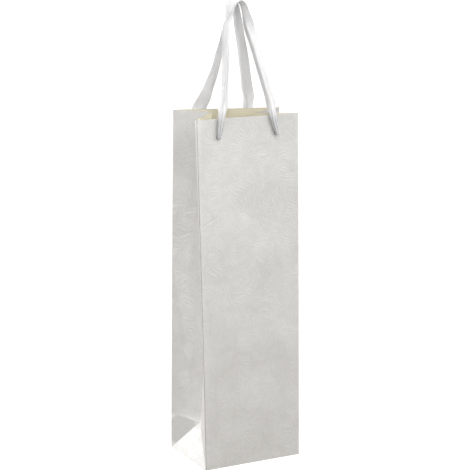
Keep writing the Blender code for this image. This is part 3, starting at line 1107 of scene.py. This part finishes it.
# paths are in millimetres; the others go by the share of the length from the left hole
frontLoop = {
    "leans": (0.0030, -0.0040),
    "path": ((-22.8, -20.5, 370), (-20.3, -18.2, 389), (-16.6, -14.2, 418), (-12.8, -11.0, 444),
             (-8.9, -9.3, 457), (-4.9, -8.3, 465.3), (-0.9, -8.1, 468.4), (2.6, -8.3, 465.3),
             (5.2, -9.9, 456), (8.2, -13.6, 440), (12.7, -17.8, 421), (16.8, -21.3, 402.5),
             (20.9, -25.0, 384), (24.6, -28.6, 368)),
    "turns": ((0.0, 98.0), (0.07, 98.0), (0.14, 114.0), (0.26, 114.0), (0.38, 75.0), (0.46, 10.0),
              (0.5, 0.0), (0.54, -8.0), (0.64, -50.0), (0.86, -63.0), (0.94, -80.0), (1.0, -80.0)),
    "curls": ((0.0, 1.0), (0.05, 0.92), (0.075, 0.75), (0.12, 0.38), (0.20, 0.15), (0.30, 0.06),
              (0.70, 0.06), (0.80, 0.15), (0.88, 0.38), (0.93, 0.75), (0.96, 0.92), (1.0, 1.0)),
    "squashes": ((0.0, 0.0), (0.03, 0.35), (0.075, 0.35), (0.12, 0.10), (0.16, 0.0), (0.84, 0.0),
                 (0.88, 0.10), (0.93, 0.35), (0.97, 0.35), (1.0, 0.0)),
    "creases": ((0.0, 0.0), (0.05, 0.10), (0.10, 0.7), (0.18, 2.0), (0.32, 1.7), (0.44, 0.6),
                (0.56, 0.45), (0.66, 1.2), (0.82, 1.5), (0.90, 0.8), (0.95, 0.1), (1.0, 0.0)),
}
backLoop = {
    "leans": (0.0038, -0.0038),
    "path": ((-21.4, 22.4, 368), (-16.3, 20.6, 381), (-11.4, 18.0, 397), (-8.3, 15.0, 415),
             (-5.8, 11.6, 435), (-4.5, 8.2, 452), (-3.0, 6.9, 461.5), (0.0, 6.6, 465.5),
             (3.4, 6.8, 461.5), (5.4, 6.9, 449), (7.3, 7.0, 434), (10.5, 7.1, 414),
             (12.9, 7.3, 395.5), (15.8, 8.0, 376), (18.4, 8.3, 366)),
    "turns": ((0.0, 110.0), (0.07, 105.0), (0.17, 74.0), (0.27, 60.0), (0.385, 44.0), (0.45, 22.0),
              (0.52, 0.0), (0.62, -10.0), (0.80, -22.0), (0.97, -70.0), (1.0, -70.0)),
    "curls": ((0.0, 1.0), (0.03, 0.70), (0.06, 0.16), (0.12, 0.05), (0.5, 0.04), (0.66, 0.08),
              (0.84, 0.20), (0.94, 0.45), (0.97, 0.85), (1.0, 1.0)),
    "squashes": ((0.0, 0.0), (0.03, 0.30), (0.06, 0.0), (0.94, 0.1), (0.97, 0.35), (1.0, 0.0)),
    "creases": ((0.0, 0.0), (0.05, 0.1), (0.2, 0.25), (0.5, 0.1), (0.8, 0.45), (0.9, 0.7), (1.0, 0.0)),
}


def makeRibbon(face, loop):
    left, right = (strandFoot(face, share, lean) for share, lean in zip(ribbonHoles[face], loop["leans"]))
    points = [*left, *(mm(*spot) for spot in loop["path"]), *reversed(right)]
    return sweepRibbon(face + "Ribbon", smoothPath(points, handles["stepsBetween"]), loop)


frontRibbon, frontLength = makeRibbon("front", frontLoop)
backRibbon, backLength = makeRibbon("back", backLoop)
print(f"ribbons made, {frontLength:.3f} and {backLength:.3f} m")

# knots inside, with a neck through each hole

knots = {
    "cordRadius": 0.00125,
    "span": 0.0052,
    "neckRadius": 0.0021,
    "elbowRadius": 0.0020,
    "loopSteps": 60,
    "loopOpen": 0.35,
    "loopWidth": 5.6,  # of the knot's curve before it is scaled to the span
    "loopDepth": 0.00055,
    "gaps": 0.0006,
    "behind": 0.0021,
    "neckPast": 0.0016,
    "steps": 12,
    "tail": 0.013,
    "tailDrop": 0.0015,
    "tailDrift": 0.0022,
    "tailOut": 0.0007,
    "tailSag": 0.0012,
    "tailRadius": 0.0016,
    "tailSpread": 0.0020,
    "tailFlat": 0.16,
    "pleatDepth": 0.10,
    "pleatCount": 3.0,
    "pleatTwist": 40.0,
    "gathered": 0.8,
}


def tubeInto(bm, weave, path, radiusAt, segments=14, across=None, flat=1.0):
    rows = []
    travel = 0.0
    side = across or (path[1] - path[0]).orthogonal()
    for i, spot in enumerate(path):
        ahead = aheadAt(path, i)
        side = (side - ahead * side.dot(ahead)).normalized()
        other = ahead.cross(side)
        travel += (spot - path[max(i - 1, 0)]).length
        row = []
        for k in range(segments):
            angle = 2.0 * math.pi * k / segments
            fold = math.cos(knots["pleatCount"] * angle + knots["pleatTwist"] * travel)
            pleat = 1.0 + knots["pleatDepth"] * fold  # gathered folds run along it
            vertex = bm.verts.new(spot + (side * math.cos(angle) + other * math.sin(angle) * flat)
                                  * radiusAt(i / (len(path) - 1)) * pleat)
            # the knots count as bunched, so the satin's painted pleat shade darkens them too
            vertex[weave] = (travel, satin["width"] * (k / segments - 0.5) * 0.98, knots["gathered"])
            row.append(vertex)
        rows.append(row)
    skinRows(bm, rows, segments)
    for row in (rows[0], rows[-1]):
        bm.faces.new(row).smooth = True


def makeKnot(name, face, share):
    spot, outward = holeSpot(face, share, bag["height"] - ribbonHoles["drop"])
    up = Vector((0.0, 0.0, 1.0))
    right = up.cross(outward).normalized()
    stack = 1.5 * bag["paper"] + rimParts["cardThick"] + knots["gaps"]
    centre = spot - outward * (stack + knots["behind"])
    scale = knots["span"] / knots["loopWidth"]
    loop = []
    for i in range(knots["loopSteps"]):
        t = knots["loopOpen"] + 2.0 * (math.pi - knots["loopOpen"]) * i / (knots["loopSteps"] - 1)
        x = (math.sin(t) + 2.0 * math.sin(2.0 * t)) * scale
        y = (math.cos(t) - 2.0 * math.cos(2.0 * t)) * scale
        depth = -math.sin(3.0 * t) * knots["loopDepth"]
        loop.append(centre + right * x + up * y + outward * depth)
    bm = bmesh.new()
    weave = bm.verts.layers.float_vector.new("weavePlace")
    tubeInto(bm, weave, loop, lambda s: knots["cordRadius"])
    steps = knots["steps"]
    drift = right * (knots["tailDrift"] if "left" in name.lower() else -knots["tailDrift"])
    tail = []
    for i in range(steps):
        t = i / (steps - 1)
        out = knots["tailOut"] - knots["tailSag"] * t * (1.0 - t)
        tail.append(centre + drift * t - up * (knots["tailDrop"] + knots["tail"] * t) + outward * out)
    tubeInto(bm, weave, tail, lambda s: knots["tailRadius"] + knots["tailSpread"] * min(s * 2.5, 1.0),
             16, right, knots["tailFlat"])
    axis = ribbonHoles["axisOut"]
    reach = stack + knots["neckPast"]
    neck = [spot + outward * (axis - (reach + axis) * (1.0 - i / steps)) for i in range(steps + 1)]
    tubeInto(bm, weave, neck, lambda s: knots["neckRadius"])
    # the rounded elbow that the strand swings about
    elbow = knots["elbowRadius"]
    ball = [spot + outward * (axis + elbow * math.sin(math.pi * (i / steps - 0.5))) for i in range(steps + 1)]
    tubeInto(bm, weave, ball, lambda s: max(elbow * math.sin(math.pi * s), 0.0002), 18)
    bmesh.ops.recalc_face_normals(bm, faces=bm.faces[:])
    return meshObject(name, bm, (satinRibbon,))


for face in ("front", "back"):
    for side, share in zip(("left", "right"), ribbonHoles[face]):
        node = f"{face}_{side}_knot"
        visual[node] = makeKnot(camel(node), face, share)
print("knots made")

# each piece stands for its CAD node and rides on its body

sharpAngle = math.radians(50.0)
for tool in holeTools["front"] + holeTools["back"]:
    bpy.data.objects.remove(tool, do_unlink=True)
for piece in (*visual.values(), frontRibbon, backRibbon):
    piece.data.set_sharp_from_angle(angle=sharpAngle)
for node, piece in visual.items():
    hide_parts(node)
    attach(piece, "bag")
for piece, node, length in ((frontRibbon, "front_ribbon", frontLength),
                            (backRibbon, "back_ribbon", backLength)):
    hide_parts(node)
    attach(piece, node.replace("ribbon", "handle"))

# floor, light and camera

studio = {
    "floor": (0.33, 0.31, 0.285, 1.0),
    "floorGlow": 0.95,
    "floorSize": 40.0,
    "floorHeight": -0.0003,
    "world": (1.0, 1.0, 1.0, 1.0),
    "worldStrength": 0.42,
    "backdropGlow": 1.1,
    "aim": (0.0, 0.0, 0.2287),
    "cameraFar": 3.0,
    "cameraTurn": 27.27,
    "cameraLift": 15.95,
    "lens": 229.8,
    "sensor": 36.0,
    "clipEnd": 50.0,
    "lights": (  # name, where it stands, what it faces, its size and its power
        ("overheadSoftbox", (0.15, -0.60, 1.15), (0.0, 0.0, 0.20), (1.0, 1.0), 12.2),
        ("keySoftbox", (1.35, -1.75, 1.10), (0.0, 0.0, 0.30), (0.35, 0.35), 11.0),
        ("frontSoftbox", (-0.9, -2.1, 1.5), (0.0, 0.0, 0.3), (1.0, 1.0), 3.5),
        ("leftFill", (-1.6, -0.2, 0.40), (0.0, 0.0, 0.15), (0.8, 0.8), 7.0),
        ("backSoftbox", (-1.2, 2.0, 0.75), (0.0, 0.0, 0.05), (1.4, 0.9), 38.0),
    ),
}


def makeFloor():
    bm = bmesh.new()
    bmesh.ops.create_grid(bm, x_segments=1, y_segments=1, size=0.5 * studio["floorSize"])
    for vertex in bm.verts:
        vertex.co.z = studio["floorHeight"]
    made, shader = startMaterial("studioFloor")
    feedAll(shader, {"Base Color": studio["floor"], "Roughness": 1.0, "Specular IOR Level": 0.0,
                       "Emission Color": studio["world"]})
    seen = addNode("ShaderNodeLightPath").outputs["Is Camera Ray"]
    feed(shader.inputs["Emission Strength"], times(seen, studio["floorGlow"]))
    floor = meshObject("studioFloor", bm, (made,))


def makeLight(name, spot, aim, size, power):
    lamp = bpy.data.lights.new(name, "AREA")
    lamp.shape = "RECTANGLE"
    lamp.size, lamp.size_y = size
    lamp.energy = power
    made = linkObject(name, lamp)
    made.location = spot
    made.rotation_euler = (Vector(aim) - Vector(spot)).to_track_quat("-Z", "Y").to_euler()


def makeWorld():
    world = bpy.data.worlds.new("studioWorld")
    world.use_nodes = True
    work["tree"] = world.node_tree
    ground = world.node_tree.nodes["Background"]
    feed(ground.inputs["Color"], studio["world"])
    seen = addNode("ShaderNodeLightPath").outputs["Is Camera Ray"]
    glow = scaleAdd(seen, studio["backdropGlow"] - studio["worldStrength"],
                studio["worldStrength"])
    feed(ground.inputs["Strength"], glow)
    bpy.context.scene.world = world


def makeStudio():
    makeFloor()
    makeWorld()
    for light in studio["lights"]:
        makeLight(*light)
    bpy.context.scene.view_settings.view_transform = "Standard"


def makeCamera():
    camera = bpy.data.cameras.new("photoView")
    camera.lens = studio["lens"]
    camera.sensor_width = studio["sensor"]
    camera.clip_end = studio["clipEnd"]
    made = linkObject("photoView", camera)
    turn = math.radians(studio["cameraTurn"])
    lift = math.radians(studio["cameraLift"])
    aim = Vector(studio["aim"])
    away = Vector((-math.sin(turn) * math.cos(lift), -math.cos(turn) * math.cos(lift), math.sin(lift)))
    made.location = aim + away * studio["cameraFar"]
    made.rotation_euler = (-away).to_track_quat("-Z", "Y").to_euler()
    bpy.context.scene.camera = made


makeStudio()
makeCamera()
print("studio made")
